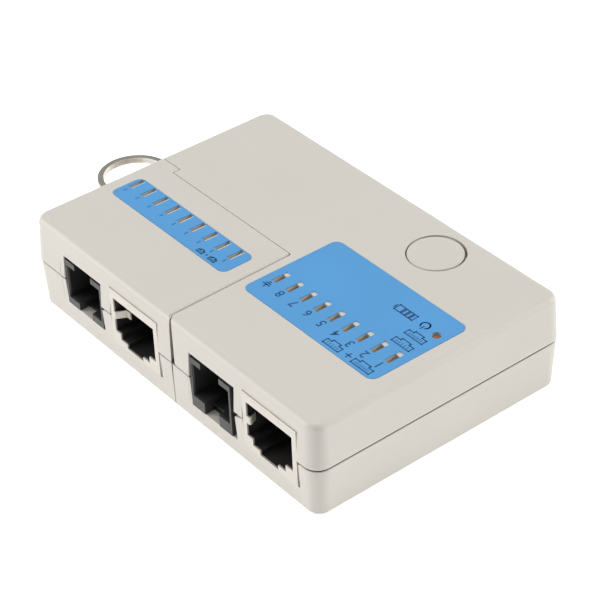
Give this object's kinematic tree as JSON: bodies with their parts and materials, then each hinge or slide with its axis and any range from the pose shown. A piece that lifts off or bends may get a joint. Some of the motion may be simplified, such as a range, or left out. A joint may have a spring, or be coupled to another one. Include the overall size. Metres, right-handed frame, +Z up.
{
  "type": "network cable tester",
  "caption": "Pocket network cable tester: L-shaped main unit with round button and docked remote terminator on a key ring, modular jacks on one face.",
  "frame": {"origin": "centre of the closed case (without the key ring) on its underside, at the mount bottom_rest_face", "axes": "+X to the right along the jack face as seen from the front, +Y from the jack face to the back, +Z up"},
  "size_m": [0.095, 0.0542, 0.0185],
  "materials": {
    "case_plastic": "fine matt, warm light grey",
    "label_film": "printed film, light blue",
    "board": "solder mask green",
    "shield_metal": "bright tinned sheet",
    "gold_contact": "gold plated",
    "black_plastic": "black moulding",
    "lamp_body": "clear smoked lens",
    "power_lamp": "amber lens",
    "plunger_plastic": "white moulding",
    "battery_jacket": "printed jacket, plain grey",
    "spring_steel": "zinc plated",
    "ring_steel": "polished nickel"
  },
  "bodies": {
    "main": {"main_top_shell": "case_plastic", "main_bottom_shell": "case_plastic", "main_label": "label_film", "main_board": "board", "main_rj45_shield": "shield_metal", "main_rj45_housing": "black_plastic", "main_rj45_contacts": "gold_contact", "main_rj11_housing": "black_plastic", "main_rj11_contacts": "gold_contact", "main_leds": "lamp_body", "power_led": "power_lamp", "switch_body": "black_plastic", "button_spring": "spring_steel", "main_controller": "black_plastic", "main_resistors": "black_plastic", "battery": "battery_jacket", "battery_spring_contact": "spring_steel", "battery_flat_contact": "spring_steel", "main_screws": "spring_steel"},
    "button": {"button_cap": "case_plastic", "switch_plunger": "plunger_plastic"},
    "battery_door": {"battery_door": "case_plastic"},
    "remote": {"remote_top_shell": "case_plastic", "remote_bottom_shell": "case_plastic", "remote_label": "label_film", "remote_board": "board", "remote_rj45_shield": "shield_metal", "remote_rj45_housing": "black_plastic", "remote_rj45_contacts": "gold_contact", "remote_rj11_housing": "black_plastic", "remote_rj11_contacts": "gold_contact", "remote_leds": "lamp_body", "remote_diodes": "black_plastic", "remote_screws": "spring_steel"},
    "ring": {"key_ring": "ring_steel"}
  },
  "joints": [
    {"name": "power_button_press", "type": "slide", "parent": "main", "child": "button", "axis": [0, 0, -1], "range_m": [0, 0.001], "stiffness_N_per_m": 600, "springref_m": -0.0005, "deforming": ["button_spring"]},
    {"name": "battery_door_slide", "type": "slide", "parent": "main", "child": "battery_door", "axis": [-1, 0, 0], "range_m": [0, 0.04]},
    {"name": "remote_undock", "type": "slide", "parent": "main", "child": "remote", "axis": [-1, 0, 0], "range_m": [0, 0.042]},
    {"name": "ring_swing", "type": "hinge", "parent": "remote", "child": "ring", "pos_m": [-0.04105, 0.0008, 0.0097], "axis": [0, 0.9727, 0.2322], "range_deg": [-80, 60]}
  ]
}
